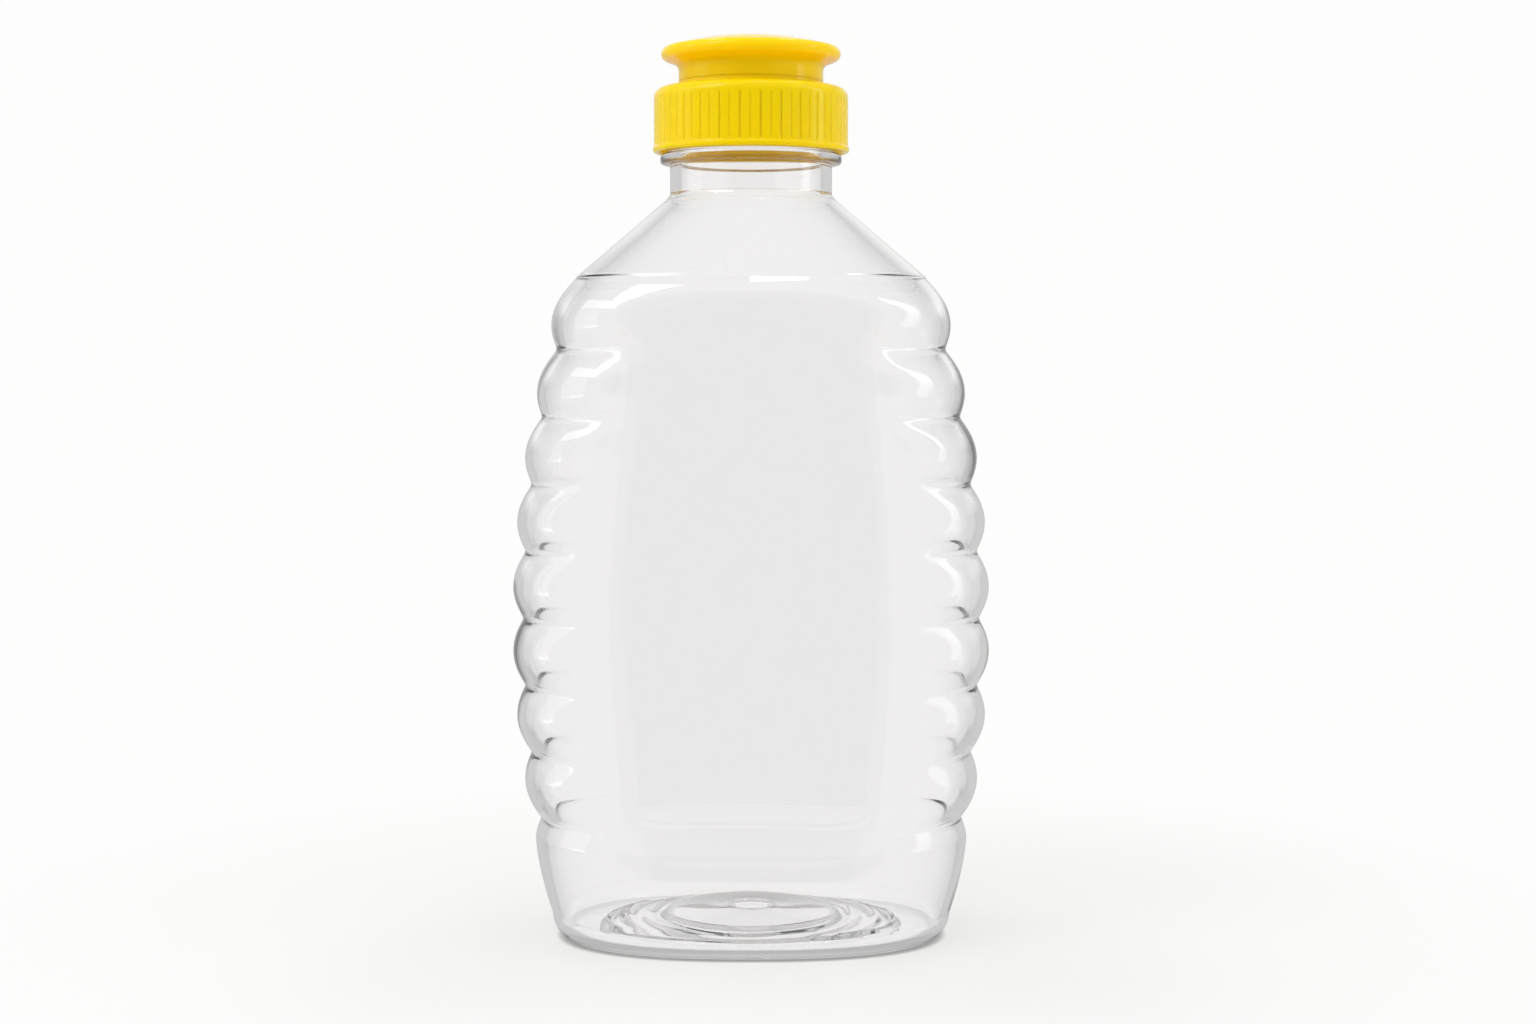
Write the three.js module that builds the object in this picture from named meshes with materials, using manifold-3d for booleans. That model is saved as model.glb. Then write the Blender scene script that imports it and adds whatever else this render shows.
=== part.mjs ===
// Clear squeeze bottle for honey: ribbed oval body, threaded neck, sealing ring, screw cap, push-pull spout.
// Millimetres, +Z up. The origin is the middle of the base, in the plane that the bottle stands on.

import * as THREE from 'three';
import { mergeVertices } from 'three/addons/utils/BufferGeometryUtils.js';
import Module from 'manifold-3d';

const wasm = await Module();
wasm.setup();

// Fits between the pieces
const restGap = 0.3; // between faces that rest on each other
const slideGap = 0.3; // radial, between pieces that slide or turn on each other
const stopGap = 0.1; // left between the spout's beads at the top of its travel

// Body outline, measured in the grooves between the ribs
const grooveWidth = 94.6;
const grooveDepth = 66.4;
const creaseWidth = 71.8;
const creaseDepth = 56;
const bellyHeight = 65;
const creaseHeight = 136.4;
const sectionPower = 2.4;
const creasePower = 2.6;
const wall = 1.6;

// Ribs round the sides: the top one goes all the way round
const ribCount = 8;
const topRibHeight = 14.9;
const ribPitch = 13.83;
const topRibRise = 2.6;
const ribRise = 2.1;
const ribStartShare = 0.6;
const ribFullShare = 0.88;

// Flat label panels, front and back
const panelWidth = 54;
const panelLean = 4.6; // each side edge comes in this much on the way up
const panelTop = 132.8;
const panelArch = 5.4; // the top edge falls this much from its middle to its corners
const panelBottom = 21;
const panelDepth = 63.8;
const panelTopDepth = 60.4;
const panelFall = 2.6; // from the middle of a panel to its side edges
const panelTopFall = 3.3;
const panelEdge = 2.5;
const panelPower = 10;

// Plain band and heel round the foot
const bandWidth = 89.7;
const bandDepth = 64.8;
const bandHeight = 20.5;
const bandPower = 1.5;
const footWidth = 82.8;
const footDepth = 61.2;
const heelRadius = 4.8;

// Push-up in the base
const rimWidth = 61;
const rimDepth = 44.6;
const ledgeWidth = 43.4;
const ledgeDepth = 39.2;
const ledgeHeight = 3.1;
const plateauRadius = 17.9;
const plateauHeight = 4.3;
const plateauEdge = 0.9;
const gateRadius = 4;
const gateDrop = 0.5;

// Neck, support ring and threaded finish
const neckRadius = 16.7;
const shoulderRise = 17.2; // from the crease to the straight neck
const neckLength = 6; // from there to the support ring
const shoulderFlare = 1.4;
const shoulderFlareHeight = 1.8;
const shoulderFlarePower = 1.6;
const boreRadius = 14.6;
const ringRadius = 18.7;
const ringThickness = 2.1;
const ringEdge = 0.6;
const finishRadius = 17.55;
const finishLength = 10.8; // from the support ring to the lip
const lipEdge = 0.5;

// Thread: six to the inch, right-handed
const threadPitch = 25.4 / 6;
const threadDepth = 1.1;
const threadRootWidth = 2.4;
const threadCrestWidth = 1.0;
const threadTurns = 1.2;
const threadStart = 3.9; // of the ridge's centreline above the support ring
const capThreadTurns = 1.4;
const capThreadRootWidth = 2.0;
const capThreadCrestWidth = 0.8;
const threadRunOutShare = 0.12;
const threadSink = 0.3; // the ridge's root lies this far inside its wall

// Sealing ring
const linerThickness = 0.9;

// Screw cap
const capRadius = 20;
const capBandRadius = 20.25;
const capBandHeight = 1;
const capEdge = 0.6;
const capShoulder = 2;
const deckThickness = 1.5;
const deckFall = 0.2; // from the spout's seat out to the start of the shoulder
const seatRise = 1; // the spout's seat stands this far above the deck
const gripCount = 60;
const gripDeep = 0.5;
const gripShallow = 0.3;
const gripHalfWidth = 0.3;
const gripTopGap = 0.4; // plain stretch between the grip and the shoulder
const plugLength = 2.6;
const plugWall = 1.1;
const plugLead = 0.5;
const chimneyWall = 1.2;
const chimneyBeadHeight = 0.7;
const beadLead = 0.2;
const postRadius = 3.6;
const webCount = 3;
const webThickness = 1.4;
const webHeight = 4.1;
const webSink = 0.4;

// Pull-up spout
const spoutHeight = 9.2;
const flangeRadius = 18.5;
const flangeEdge = 1.4; // radius of the flange's rounded rim
const domeRise = 2.4;
const flangeFall = 0.9; // the underside drops this much from rim to stem
const stemRadius = 14.9;
const stemFillet = 0.8;
const sleeveWall = 1.3;
const sleeveBeadHeight = 0.9;
const spoutPlate = 1.5;
const chimneyTopGap = 0.4;
const orificeRadius = 3.2;
const orificeWall = 1.2;
const orificeCollar = 1.4;
const tipDrop = 0.2; // the closed tip stands this far below the dome
const tipEdge = 0.4;

// Facets round each piece, and how finely the long curves are stepped
const bodyFacets = 44;
const neckPower = 2;
const capFacets = gripCount;
const spoutFacets = 44;
const threadFacets = 32;
const slopeStep = 1.2; // heights either side, to find how the wall leans
const cutOver = 1; // overrun of every cut
const weldDistance = 1e-4; // points closer than this are one

// Sizes that follow from those above
const firstGroove = creaseHeight - topRibHeight;
const lastGroove = firstGroove - (ribCount - 1) * ribPitch;
const neckHeight = creaseHeight + shoulderRise;
const shoulderTop = neckHeight - shoulderFlareHeight;
const ringHeight = neckHeight + neckLength;
const ringTop = ringHeight + ringThickness;
const lipHeight = ringTop + finishLength;
const threadRadius = finishRadius + threadDepth;
const linerBottom = lipHeight + restGap;
const linerTop = linerBottom + linerThickness;
const capBottom = ringTop + restGap;
const capInside = threadRadius + slideGap;
const capThreadRadius = finishRadius + slideGap;
const deckUnder = linerTop + restGap;
const deckHeight = deckUnder + deckThickness;
const seatHeight = deckHeight + seatRise;
const plugRadius = boreRadius - slideGap;
const linerInside = plugRadius + 2 * slideGap;
const linerOutside = capInside - slideGap;
const spoutBottom = seatHeight + restGap;
const spoutTop = spoutBottom + spoutHeight;
const rimCentre = spoutTop - domeRise - flangeEdge;
const sleeveInside = stemRadius - sleeveWall;
const chimneyBeadRadius = sleeveInside - slideGap;
const sleeveBeadRadius = sleeveInside - 2 * slideGap;
const chimneyRadius = sleeveBeadRadius - slideGap;
const chimneyInside = chimneyRadius - chimneyWall;
const ceiling = domeAt(sleeveInside) - spoutPlate;
const chimneyTop = ceiling - chimneyTopGap;
const collarBottom = spoutTop - spoutPlate - orificeCollar;
const tipRadius = orificeRadius - slideGap;
const tipTop = spoutTop - tipDrop;
const spoutTravel = chimneyTop - chimneyBeadHeight - spoutBottom - sleeveBeadHeight - stopGap;

console.log('spout travel', spoutTravel.toFixed(3), 'height', spoutTop.toFixed(3));

// Small helpers for numbers and outlines
function mix(a, b, share) {
  return a + (b - a) * share;
}

function ease(low, high, value) {
  const share = Math.min(1, Math.max(0, (value - low) / (high - low)));
  return share * share * (3 - 2 * share);
}

function arc(radius, height, size, fromDegrees, toDegrees, steps) {
  const points = [];
  for (let step = 0; step <= steps; step += 1) {
    const angle = THREE.MathUtils.degToRad(mix(fromDegrees, toDegrees, step / steps));
    points.push([radius + size * Math.cos(angle), height + size * Math.sin(angle)]);
  }
  return points;
}

// A closed body through rings of points. A ring of one point closes an end.
function skin(rings) {
  const positions = [];
  const starts = [];
  for (const ring of rings) {
    starts.push(positions.length / 3);
    for (const point of ring) {
      positions.push(...point);
    }
  }
  const faces = [];
  for (let row = 0; row + 1 < rings.length; row += 1) {
    const low = rings[row].length;
    const high = rings[row + 1].length;
    const count = Math.max(low, high);
    for (let step = 0; step < count; step += 1) {
      const next = (step + 1) % count;
      const a = starts[row] + (step % low);
      const b = starts[row] + (next % low);
      const c = starts[row + 1] + (next % high);
      const d = starts[row + 1] + (step % high);
      if (a !== b) {
        faces.push(a, b, c);
      }
      if (c !== d) {
        faces.push(a, c, d);
      }
    }
  }
  const geometry = new THREE.BufferGeometry();
  geometry.setAttribute('position', new THREE.Float32BufferAttribute(positions, 3));
  geometry.setIndex(faces);
  return geometry;
}

// A profile of [radius, height] points turned about the upright axis
function turned(profile, facets) {
  const points = profile.map(([radius, height]) => new THREE.Vector2(radius, height));
  const geometry = new THREE.LatheGeometry(points, facets);
  geometry.rotateX(Math.PI / 2);
  return geometry;
}

function closed(profile) {
  return [...profile, profile[0]];
}

function solidOf(geometry) {
  geometry.deleteAttribute('normal');
  geometry.deleteAttribute('uv');
  const merged = mergeVertices(geometry, weldDistance);
  const kept = [];
  const index = merged.index.array;
  for (let face = 0; face < index.length; face += 3) {
    const [a, b, c] = index.slice(face, face + 3);
    if (a !== b && b !== c && c !== a) {
      kept.push(a, b, c);
    }
  }
  const vertProperties = new Float32Array(merged.attributes.position.array);
  const triVerts = new Uint32Array(kept);
  return new wasm.Manifold(new wasm.Mesh({ numProp: 3, vertProperties, triVerts }));
}

function meshOf(name, solid, look) {
  const { vertProperties, triVerts } = solid.getMesh();
  const geometry = new THREE.BufferGeometry();
  geometry.setAttribute('position', new THREE.BufferAttribute(vertProperties, 3));
  geometry.setIndex(new THREE.BufferAttribute(triVerts, 1));
  geometry.computeVertexNormals();
  const mesh = new THREE.Mesh(geometry, new THREE.MeshStandardMaterial(look));
  mesh.name = name;
  return mesh;
}

// A thread ridge: a four-sided section that climbs round the axis and runs out at both ends
function ridge({ root, crest, rootWidth, crestWidth, start, turns }) {
  const steps = Math.ceil(turns * threadFacets);
  const rings = [];
  for (let step = 0; step <= steps; step += 1) {
    const share = step / steps;
    const angle = 2 * Math.PI * turns * share;
    const height = start + threadPitch * turns * share;
    const full = Math.min(1, share / threadRunOutShare, (1 - share) / threadRunOutShare);
    const top = mix(root, crest, full);
    const sink = root + Math.sign(root - crest) * threadSink;
    const section = [
      [sink, -rootWidth / 2],
      [sink, rootWidth / 2],
      [top, crestWidth / 2],
      [top, -crestWidth / 2],
    ];
    if (crest < root) {
      section.reverse();
    }
    const place = ([radius, lift]) => [radius * Math.cos(angle), radius * Math.sin(angle), height + lift];
    rings.push(section.map(place));
  }
  const middle = (ring) => [0, 1, 2].map((axis) => {
    return ring.reduce((sum, point) => sum + point[axis], 0) / ring.length;
  });
  return skin([[middle(rings[0])], ...rings, [middle(rings[steps])]]);
}

// Bottle: half-width, half-depth and squareness of the body at a height, without ribs or panels
function sectionAt(height) {
  if (height >= shoulderTop) {
    const share = Math.min(1, (height - shoulderTop) / shoulderFlareHeight);
    const radius = neckRadius + shoulderFlare * (1 - share) ** shoulderFlarePower;
    return [radius, radius, neckPower];
  }
  if (height >= creaseHeight) {
    const share = (height - creaseHeight) / (shoulderTop - creaseHeight);
    const top = neckRadius + shoulderFlare;
    const power = mix(creasePower, neckPower, share);
    return [mix(creaseWidth / 2, top, share), mix(creaseDepth / 2, top, share), power];
  }
  const bow = ((height - bellyHeight) / (creaseHeight - bellyHeight)) ** 2;
  const groove = [mix(grooveWidth, creaseWidth, bow) / 2, mix(grooveDepth, creaseDepth, bow) / 2];
  if (height >= lastGroove) {
    return [...groove, height > bellyHeight ? mix(sectionPower, creasePower, bow) : sectionPower];
  }
  if (height >= bandHeight) {
    const share = ((height - bandHeight) / (lastGroove - bandHeight)) ** 2;
    return [mix(bandWidth / 2, groove[0], share), mix(bandDepth / 2, groove[1], share), sectionPower];
  }
  const share = ((bandHeight - height) / (bandHeight - heelRadius)) ** bandPower;
  return [mix(bandWidth, footWidth, share) / 2, mix(bandDepth, footDepth, share) / 2, sectionPower];
}

// How far the rib at a height stands out of the grooves, and whether it is the top one
function ribAt(height) {
  if (height >= creaseHeight || height <= lastGroove) {
    return [0, true];
  }
  if (height >= firstGroove) {
    const share = (height - firstGroove) / topRibHeight;
    return [4 * topRibRise * share * (1 - share), true];
  }
  const share = ((firstGroove - height) / ribPitch) % 1;
  return [4 * ribRise * share * (1 - share), false];
}

// A label panel at a place: its half-depth, and a share, one on the panel, that eases to zero round its edge
function panelAt(across, height) {
  const bow = ((height - bellyHeight) / (panelTop - bellyHeight)) ** 2;
  const side = Math.abs(across) / (panelWidth / 2 - panelLean * bow);
  const middle = (panelTop + panelBottom) / 2;
  const top = panelTop - panelArch * (across / (panelWidth / 2 - panelLean)) ** 2;
  const up = (height - middle) / (height > middle ? top - middle : panelBottom - middle);
  const reach = (side ** panelPower + up ** panelPower) ** (1 / panelPower);
  const blend = panelEdge / panelWidth;
  const fall = mix(panelFall, panelTopFall, bow) * side ** 2;
  return [mix(panelDepth, panelTopDepth, bow) / 2 - fall, 1 - ease(1 - blend, 1 + blend, reach)];
}

function bodyPoint(turn, height) {
  const [width, depth, power] = sectionAt(height);
  const [rise, goesRound] = ribAt(height);
  const angle = 2 * Math.PI * turn;
  const cosine = Math.sign(Math.cos(angle)) * Math.abs(Math.cos(angle)) ** (2 / power);
  const sine = Math.sign(Math.sin(angle)) * Math.abs(Math.sin(angle)) ** (2 / power);
  const out = rise * (goesRound ? 1 : ease(ribStartShare, ribFullShare, Math.abs(cosine)));
  const x = cosine * (width + out);
  const y = sine * (depth + out);
  const [panel, share] = panelAt(x, height);
  return [x, Math.sign(y) * mix(Math.abs(y), panel, share), height];
}

// The same point moved in by the wall's thickness, square to the wall
function innerPoint(turn, height) {
  const turnStep = 1 / (4 * bodyFacets);
  const at = (share, level) => new THREE.Vector3(...bodyPoint(share, level));
  const round = at(turn + turnStep, height).sub(at(turn - turnStep, height));
  const up = at(turn, height + slopeStep).sub(at(turn, height - slopeStep));
  const out = round.cross(up).normalize();
  return at(turn, height).addScaledVector(out, -wall).toArray();
}

function ringOf(pointAt) {
  const ring = [];
  for (let step = 0; step < bodyFacets; step += 1) {
    ring.push(pointAt(step / bodyFacets));
  }
  return ring;
}

function ovalRing(halfWidth, halfDepth, power, height) {
  return ringOf((turn) => {
    const angle = 2 * Math.PI * turn;
    const cosine = Math.sign(Math.cos(angle)) * Math.abs(Math.cos(angle)) ** (2 / power);
    const sine = Math.sign(Math.sin(angle)) * Math.abs(Math.sin(angle)) ** (2 / power);
    return [halfWidth * cosine, halfDepth * sine, height];
  });
}

function roundRing([radius, height]) {
  return ovalRing(radius, radius, neckPower, height);
}

// Heights of the rings over the ribs, from the last groove up to the crease
function ribHeights(steps) {
  const heights = [];
  for (let rib = ribCount - 1; rib >= 0; rib -= 1) {
    const low = rib === 0 ? firstGroove : firstGroove - rib * ribPitch;
    const span = rib === 0 ? topRibHeight : ribPitch;
    for (let step = 0; step < steps; step += 1) {
      heights.push(low + (span * step) / steps);
    }
  }
  return heights;
}

function heelRing(size, degrees) {
  const angle = THREE.MathUtils.degToRad(degrees);
  const halfWidth = footWidth / 2 - heelRadius + size * Math.cos(angle);
  const halfDepth = footDepth / 2 - heelRadius + size * Math.cos(angle);
  return ovalRing(halfWidth, halfDepth, sectionPower, heelRadius - size * Math.sin(angle));
}

function bottle() {
  const outerRibSteps = 4;
  const innerRibSteps = 3;
  const bandShares = [0.35, 0.75, 1];
  const bandHeights = bandShares.map((share) => mix(heelRadius, bandHeight, share));
  const shoulderShares = [0, 0.5, 1];
  const flareShares = [0.4, 1];
  const shoulderHeights = shoulderShares.map((share) => mix(creaseHeight, shoulderTop, share));
  const heelDegrees = [0, 22, 45, 68, 90];

  const outside = [
    [[0, 0, plateauHeight - gateDrop]],
    roundRing([gateRadius - gateDrop, plateauHeight - gateDrop]),
    roundRing([gateRadius, plateauHeight]),
    roundRing([plateauRadius - plateauEdge, plateauHeight]),
    roundRing([plateauRadius, ledgeHeight]),
    ovalRing(ledgeWidth / 2, ledgeDepth / 2, neckPower, ledgeHeight),
    ovalRing(rimWidth / 2, rimDepth / 2, neckPower, 0),
    ...heelDegrees.toReversed().map((degrees) => heelRing(heelRadius, degrees)),
    ...bandHeights.map((height) => ringOf((turn) => bodyPoint(turn, height))),
    ringOf((turn) => bodyPoint(turn, mix(bandHeight, lastGroove, 1 / 2))),
    ...ribHeights(outerRibSteps).map((height) => ringOf((turn) => bodyPoint(turn, height))),
    ...shoulderHeights.map((height) => ringOf((turn) => bodyPoint(turn, height))),
    ...flareShares.map((share) => ringOf((turn) => bodyPoint(turn, mix(shoulderTop, neckHeight, share)))),
    ...[
      [neckRadius, ringHeight],
      [ringRadius - ringEdge, ringHeight],
      [ringRadius, ringHeight + ringEdge],
      [ringRadius, ringTop - ringEdge],
      [ringRadius - ringEdge, ringTop],
      [finishRadius, ringTop],
      [finishRadius, lipHeight - lipEdge],
      [finishRadius - lipEdge, lipHeight],
    ].map(roundRing),
  ];
  const inside = [
    roundRing([boreRadius + lipEdge, lipHeight]),
    roundRing([boreRadius, lipHeight - lipEdge]),
    roundRing([boreRadius, neckHeight]),
    ...shoulderHeights.toReversed().map((height) => ringOf((turn) => innerPoint(turn, height))),
    ...ribHeights(innerRibSteps).toReversed().map((height) => ringOf((turn) => innerPoint(turn, height))),
    ...bandHeights.toReversed().map((height) => ringOf((turn) => innerPoint(turn, height))),
    ...heelDegrees.map((degrees) => heelRing(heelRadius - wall, degrees)),
    ovalRing(rimWidth / 2 + wall, rimDepth / 2 + wall, neckPower, wall),
    ovalRing(ledgeWidth / 2 + wall, ledgeDepth / 2 + wall, neckPower, ledgeHeight + wall),
    roundRing([plateauRadius + plateauEdge, ledgeHeight + wall]),
    roundRing([plateauRadius, plateauHeight + wall]),
    roundRing([gateRadius, plateauHeight + wall]),
    [[0, 0, plateauHeight + wall]],
  ];
  const thread = ridge({
    root: finishRadius,
    crest: threadRadius,
    rootWidth: threadRootWidth,
    crestWidth: threadCrestWidth,
    start: ringTop + threadStart,
    turns: threadTurns,
  });
  return solidOf(skin([...outside, ...inside])).add(solidOf(thread));
}

function sealingRing() {
  return solidOf(turned(closed([
    [linerInside, linerBottom],
    [linerOutside, linerBottom],
    [linerOutside, linerTop],
    [linerInside, linerTop],
  ]), spoutFacets));
}

// Screw cap: skirt, deck, plug that seals in the bore, and the chimney that the spout slides on
function capShell() {
  return solidOf(turned(closed([
    [capInside, capBottom],
    ...arc(capBandRadius - capEdge, capBottom + capEdge, capEdge, -90, 0, 3),
    [capBandRadius, capBottom + capBandHeight],
    [capRadius, capBottom + capBandHeight + capBandRadius - capRadius],
    ...arc(capRadius - capShoulder, deckHeight - deckFall - capShoulder, capShoulder, 0, 90, 5),
    [stemRadius, deckHeight],
    [stemRadius, seatHeight],
    [chimneyRadius, seatHeight],
    [chimneyRadius, chimneyTop - chimneyBeadHeight],
    [chimneyBeadRadius, chimneyTop - chimneyBeadHeight + beadLead],
    [chimneyBeadRadius, chimneyTop - beadLead],
    [chimneyRadius, chimneyTop],
    [chimneyInside, chimneyTop],
    [chimneyInside, deckUnder],
    [plugRadius - plugWall, deckUnder],
    [plugRadius - plugWall, deckUnder - plugLength],
    [plugRadius - plugLead, deckUnder - plugLength],
    [plugRadius, deckUnder - plugLength + plugLead],
    [plugRadius, deckUnder],
    [capInside, deckUnder],
  ]), capFacets));
}

// Upright V grooves round the skirt, deep and shallow by turns
function gripCuts() {
  const low = capBottom + capBandHeight + capBandRadius - capRadius;
  const high = deckHeight - deckFall - capShoulder - gripTopGap;
  const parts = [];
  for (let cut = 0; cut < gripCount; cut += 1) {
    const angle = (2 * Math.PI * cut) / gripCount;
    const deep = cut % 2 === 0 ? gripDeep : gripShallow;
    const slope = gripHalfWidth / gripDeep;
    const outer = capRadius + cutOver;
    const half = slope * (deep + cutOver);
    const out = [Math.cos(angle), Math.sin(angle)];
    const at = (radius, side, height) => {
      return [radius * out[0] - side * out[1], radius * out[1] + side * out[0], height];
    };
    const section = (height) => [
      at(capRadius - deep, 0, height),
      at(outer, -half, height),
      at(outer, half, height),
    ];
    const tip = at(outer, 0, low);
    const top = at(outer, 0, high);
    parts.push(solidOf(skin([[tip], section(low), section(high), [top]])));
  }
  return wasm.Manifold.union(parts);
}

function post() {
  const webTop = deckUnder + webHeight;
  const shaft = solidOf(turned([
    [0, deckUnder],
    [postRadius, deckUnder],
    [postRadius, collarBottom - postRadius + tipRadius],
    [tipRadius, collarBottom],
    [tipRadius, tipTop - tipEdge],
    [tipRadius - tipEdge, tipTop],
    [0, tipTop],
  ], spoutFacets));
  let solid = shaft;
  for (let web = 0; web < webCount; web += 1) {
    const length = chimneyInside + webSink;
    const plate = new THREE.BoxGeometry(length, webThickness, webTop - deckUnder);
    plate.translate(length / 2, 0, (webTop + deckUnder) / 2);
    plate.rotateZ((2 * Math.PI * web) / webCount);
    solid = solid.add(solidOf(plate));
  }
  return solid;
}

function screwCap() {
  const thread = ridge({
    root: capInside,
    crest: capThreadRadius,
    rootWidth: capThreadRootWidth,
    crestWidth: capThreadCrestWidth,
    start: ringTop + threadStart - threadPitch / 2,
    turns: capThreadTurns,
  });
  return capShell().subtract(gripCuts()).add(solidOf(thread)).add(post());
}

// Height of the spout's dome at a radius
function domeAt(radius) {
  return spoutTop - domeRise * (radius / (flangeRadius - flangeEdge)) ** 2;
}

function pullSpout() {
  const domeShares = [0.45, 0.72, 0.9];
  const innerShare = 0.7;
  const reach = flangeRadius - flangeEdge;
  const dome = domeShares.map((share) => [reach * share, domeAt(reach * share)]);
  const under = rimCentre - flangeEdge;
  const innerRadii = [orificeRadius + orificeWall, sleeveInside * innerShare];
  const innerDome = innerRadii.map((radius) => [radius, domeAt(radius) - spoutPlate]);
  return solidOf(turned(closed([
    [sleeveBeadRadius + beadLead, spoutBottom],
    [stemRadius, spoutBottom],
    [stemRadius, under - flangeFall],
    ...arc(stemRadius + stemFillet, under - flangeFall, stemFillet, 180, 110, 2),
    ...arc(flangeRadius - flangeEdge, rimCentre, flangeEdge, -80, 80, 6),
    ...dome.toReversed(),
    [orificeRadius, domeAt(orificeRadius)],
    [orificeRadius, collarBottom],
    [orificeRadius + orificeWall, collarBottom],
    ...innerDome,
    [sleeveInside, ceiling],
    [sleeveInside, spoutBottom + sleeveBeadHeight + beadLead],
    [sleeveBeadRadius, spoutBottom + sleeveBeadHeight],
    [sleeveBeadRadius, spoutBottom + beadLead],
  ]), spoutFacets));
}

const clearPlastic = { color: 0xeef1f2, roughness: 0.05, metalness: 0, transparent: true, opacity: 0.35 };
const yellowPlastic = { color: 0xf3cf12, roughness: 0.25, metalness: 0 };
const paleFoam = { color: 0xeceae2, roughness: 0.9, metalness: 0 };

const honeyBottle = new THREE.Group();
honeyBottle.add(meshOf('bottle', bottle(), clearPlastic));
honeyBottle.add(meshOf('sealing_ring', sealingRing(), paleFoam));
honeyBottle.add(meshOf('screw_cap', screwCap(), yellowPlastic));
honeyBottle.add(meshOf('pull_spout', pullSpout(), yellowPlastic));

export default honeyBottle;
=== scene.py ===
"""Clear ribbed squeeze bottle for honey with a yellow screw cap and pull-up spout, on a white studio floor.
Sizes are in millimetres and MM turns them into metres. The object stands on z = 0 and faces -Y."""

import math

import bpy
import numpy as np
from mathutils import Matrix, Vector


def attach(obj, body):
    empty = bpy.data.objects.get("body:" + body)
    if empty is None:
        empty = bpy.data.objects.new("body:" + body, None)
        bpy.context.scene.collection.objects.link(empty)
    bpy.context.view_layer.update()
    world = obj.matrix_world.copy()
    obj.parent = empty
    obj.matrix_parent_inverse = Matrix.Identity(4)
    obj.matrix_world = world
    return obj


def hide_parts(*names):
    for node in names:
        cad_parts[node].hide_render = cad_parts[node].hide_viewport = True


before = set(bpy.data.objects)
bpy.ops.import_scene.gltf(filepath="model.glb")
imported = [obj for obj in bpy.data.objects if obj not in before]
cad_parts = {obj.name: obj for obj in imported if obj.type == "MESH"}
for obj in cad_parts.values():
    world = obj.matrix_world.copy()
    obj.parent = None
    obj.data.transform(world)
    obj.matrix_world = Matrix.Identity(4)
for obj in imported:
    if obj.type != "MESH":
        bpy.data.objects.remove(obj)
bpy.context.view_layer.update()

MM = 0.001

# Body outline, measured in the grooves between the ribs
GROOVE_WIDTH = 94.6
GROOVE_DEPTH = 66.4
CREASE_WIDTH = 71.8
CREASE_DEPTH = 56.0
BELLY_HEIGHT = 65.0
CREASE_HEIGHT = 136.4
BODY_POWER = 2.4  # squareness of a section: 2 is an ellipse
CREASE_POWER = 2.6
WALL = 1.6
WALL_WAVE = 0.07

# Ribs round the sides
RIBS = 8
TOP_RIB_HEIGHT = 14.9
RIB_PITCH = 13.83
TOP_RIB_RISE = 2.6
RIB_RISE = 2.1
RIB_START = 0.7  # share of the half-width at which a rib begins
TOP_RIB_START = 0.5
RIB_START_SPAN = 2.5  # pitches over which the start moves from one to the other
RIB_FADE = 0.22
GROOVE_ROUND = 0.55

# Label panels
PANEL_WIDTH = 54.0
PANEL_LEAN = 4.6
PANEL_TOP = 132.8
PANEL_ARCH = 5.4
PANEL_BOTTOM = 21.0
PANEL_DEPTH = 63.8
PANEL_TOP_DEPTH = 60.4
PANEL_FALL = 2.6
PANEL_TOP_FALL = 3.3
PANEL_FLANK = 6.0

# Base band, heel and push-up
BAND_WIDTH = 89.7
BAND_DEPTH = 64.8
BAND_HEIGHT = 20.5
BAND_POWER = 1.5
FOOT_WIDTH = 82.8
FOOT_DEPTH = 61.2
HEEL_RADIUS = 4.8
RIM_WIDTH = 61.0
RIM_DEPTH = 44.6
LEDGE_WIDTH = 43.4
LEDGE_DEPTH = 39.2
LEDGE_HEIGHT = 2.1
STEP_WIDTH = 1.3
STEP_HEIGHT = 1.5
BASE_WAVE = 0.11
BASE_WAVE_FADE = 2.0
BASE_WAVE_REACH = (0.92, 1.04)
PLATEAU_RADIUS = 17.3
PLATEAU_HEIGHT = 4.3
PLATEAU_FALL = 1.2
PLATEAU_EDGE = 0.7
GATE_RADIUS = 4.0
GATE_DROP = 0.5
GATE_MIDDLE = 0.08
GATE_FILLET = 0.4
PLATEAU_FILLET = 0.5
PLATEAU_FOOT_FILLET = 0.35
LEDGE_FILLET = 0.6
STEP_FILLET = 0.4
RIM_FILLET = 0.5

# Neck and threaded finish
NECK_RADIUS = 16.7
SHOULDER_RISE = 17.2
NECK_LENGTH = 6.0
FLARE = 1.4
FLARE_HEIGHT = 1.8
FLARE_POWER = 1.6
BORE_RADIUS = 14.6
RING_RADIUS = 18.7
RING_THICKNESS = 2.1
RING_FILLET = 0.8
RING_ROOT_FILLET = 0.5
FINISH_RADIUS = 17.55
FINISH_LENGTH = 10.8
FINISH_FILLET = 0.4
LIP_FILLET = 0.6
THREAD_PITCH = 25.4 / 6
THREAD_DEPTH = 1.1
THREAD_ROOT = 2.4
THREAD_CREST = 1.0
THREAD_TURNS = 1.2
THREAD_START = 3.9
THREAD_RUN_OUT = 0.12

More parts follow.
